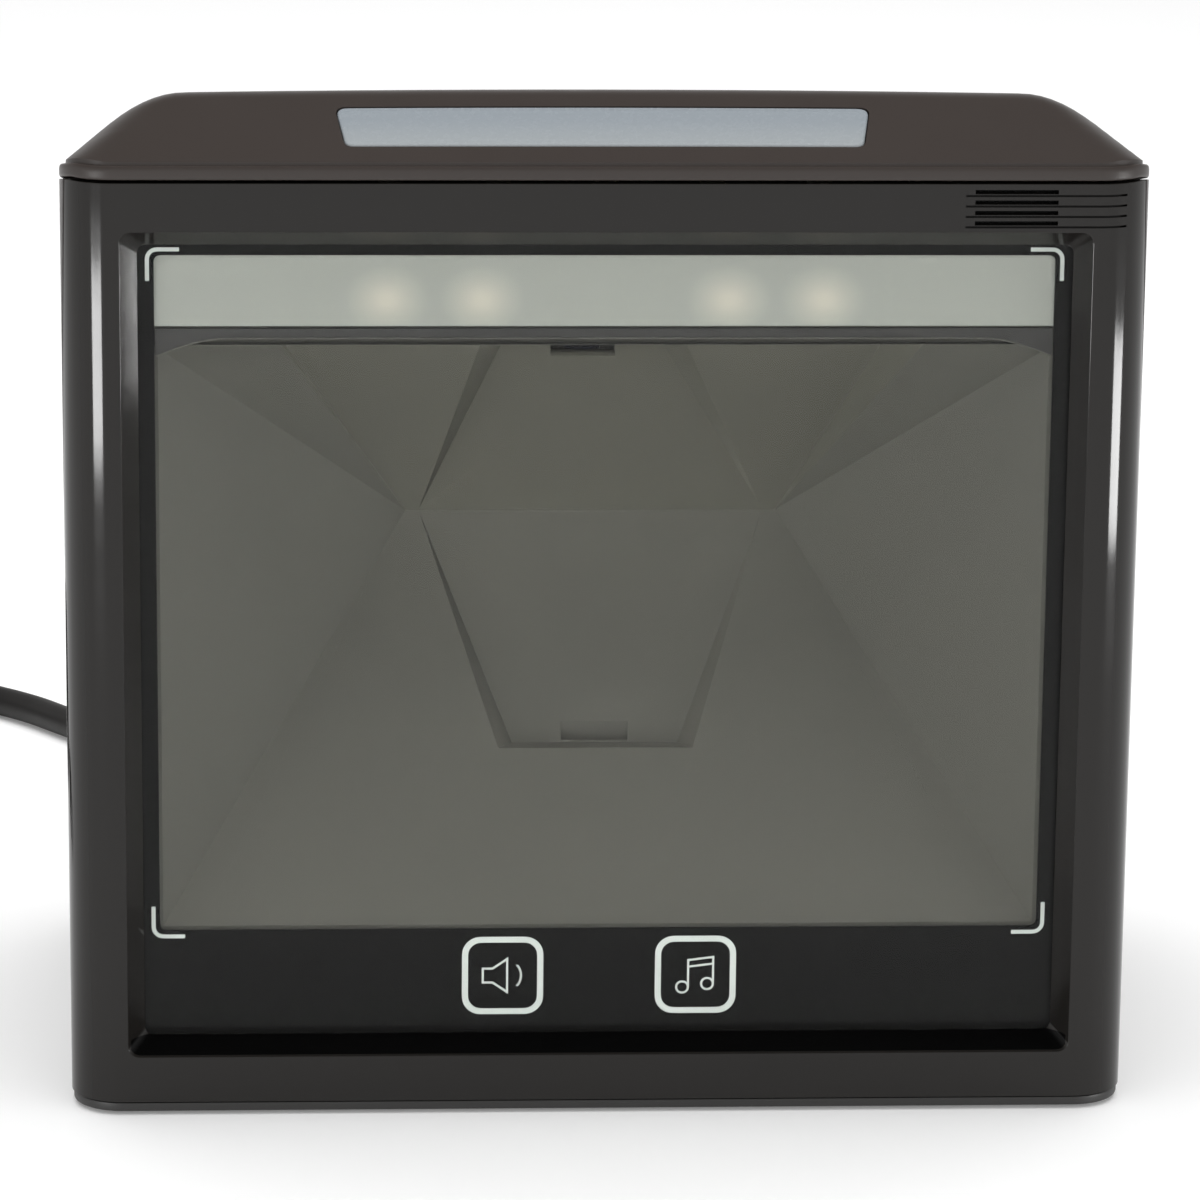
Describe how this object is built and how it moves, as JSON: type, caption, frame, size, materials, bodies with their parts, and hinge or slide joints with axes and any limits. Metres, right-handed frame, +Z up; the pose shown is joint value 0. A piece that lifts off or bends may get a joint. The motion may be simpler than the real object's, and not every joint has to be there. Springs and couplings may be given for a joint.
{
  "type": "presentation barcode scanner",
  "caption": "Upright hands-free barcode scanner with a square window over a mirror-folded camera chamber, a status light bar, touch keys and a rear interface cord",
  "frame": {"origin": "centre of the body's footprint at the table, under the rubber feet; measured without the cord, its coil and the plug at its far end", "axes": "+X to the right seen from the front, +Y towards the rear, away from the window, +Z up; the window faces -Y"},
  "size_m": [0.2538, 0.2228, 0.1462],
  "materials": {
    "bezel_plastic": "dark brown-black gloss plastic",
    "cover_plastic": "dark brown satin plastic",
    "housing_plastic": "black satin plastic",
    "base_plastic": "black matt plastic",
    "foot_rubber": "black rubber",
    "lens_plastic": "translucent pale grey plastic",
    "board": "green circuit board",
    "led": "light emitting diodes",
    "glass": "clear coated glass",
    "black_print": "black print on the back of the glass",
    "pale_print": "pale print",
    "foam": "black foam",
    "copper_film": "flexible copper film",
    "chamber_plastic": "dark olive-grey matt plastic",
    "mirror": "front-silvered mirror",
    "spring_steel": "spring steel",
    "visor_plastic": "black plastic",
    "diffuser": "frosted light diffuser",
    "camera_plastic": "black plastic",
    "lens_glass": "coated lens glass",
    "silicon": "image sensor",
    "chip": "chip packages",
    "steel": "steel",
    "brass": "brass",
    "cone_paper": "black speaker cone",
    "mesh": "black acoustic mesh",
    "label": "blank silver label",
    "clear_plug": "clear plastic plug",
    "cord_rubber": "black cord jacket",
    "tie": "black hook-and-loop tie",
    "plug_metal": "plated plug shell"
  },
  "bodies": {
    "scanner": {"front_bezel": "bezel_plastic", "top_cover": "cover_plastic", "rear_housing": "housing_plastic", "connector_bay": "camera_plastic", "base_plate": "base_plastic", "rubber_feet": "foot_rubber", "status_lens": "lens_plastic", "status_board": "board", "status_leds": "led", "window_glass": "glass", "window_mask": "black_print", "corner_brackets": "pale_print", "volume_key_mark": "pale_print", "tone_key_mark": "pale_print", "window_gasket": "foam", "touch_board": "board", "touch_cable": "copper_film", "optical_chamber": "chamber_plastic", "chamber_floor": "chamber_plastic", "chamber_roof": "chamber_plastic", "chamber_sides": "chamber_plastic", "fold_mirror": "mirror", "mirror_clips": "spring_steel", "light_visor": "visor_plastic", "light_diffuser": "diffuser", "illumination_board": "board", "illumination_leds": "led", "camera_housing": "camera_plastic", "lens_barrel": "camera_plastic", "camera_lens": "lens_glass", "image_sensor": "silicon", "camera_board": "board", "main_board": "board", "board_chips": "chip", "host_jack": "camera_plastic", "aux_jack": "camera_plastic", "speaker_frame": "steel", "speaker_magnet": "steel", "speaker_mesh": "mesh", "chamber_screws": "steel", "board_screws": "steel", "housing_screws": "steel", "threaded_inserts": "brass", "rating_label": "label", "modular_plug": "clear_plug", "cord_boot": "cord_rubber", "interface_cord": "cord_rubber", "cord_coil": "cord_rubber", "cord_ties": "tie", "usb_plug_grip": "cord_rubber", "usb_plug_shell": "plug_metal"},
    "cone": {"speaker_cone": "cone_paper"}
  },
  "joints": [
    {"name": "cone_travel", "type": "slide", "parent": "scanner", "child": "cone", "axis": [0, 1, 0], "range_m": [-0.0004, 0.0004], "stiffness_N_per_m": 500}
  ]
}
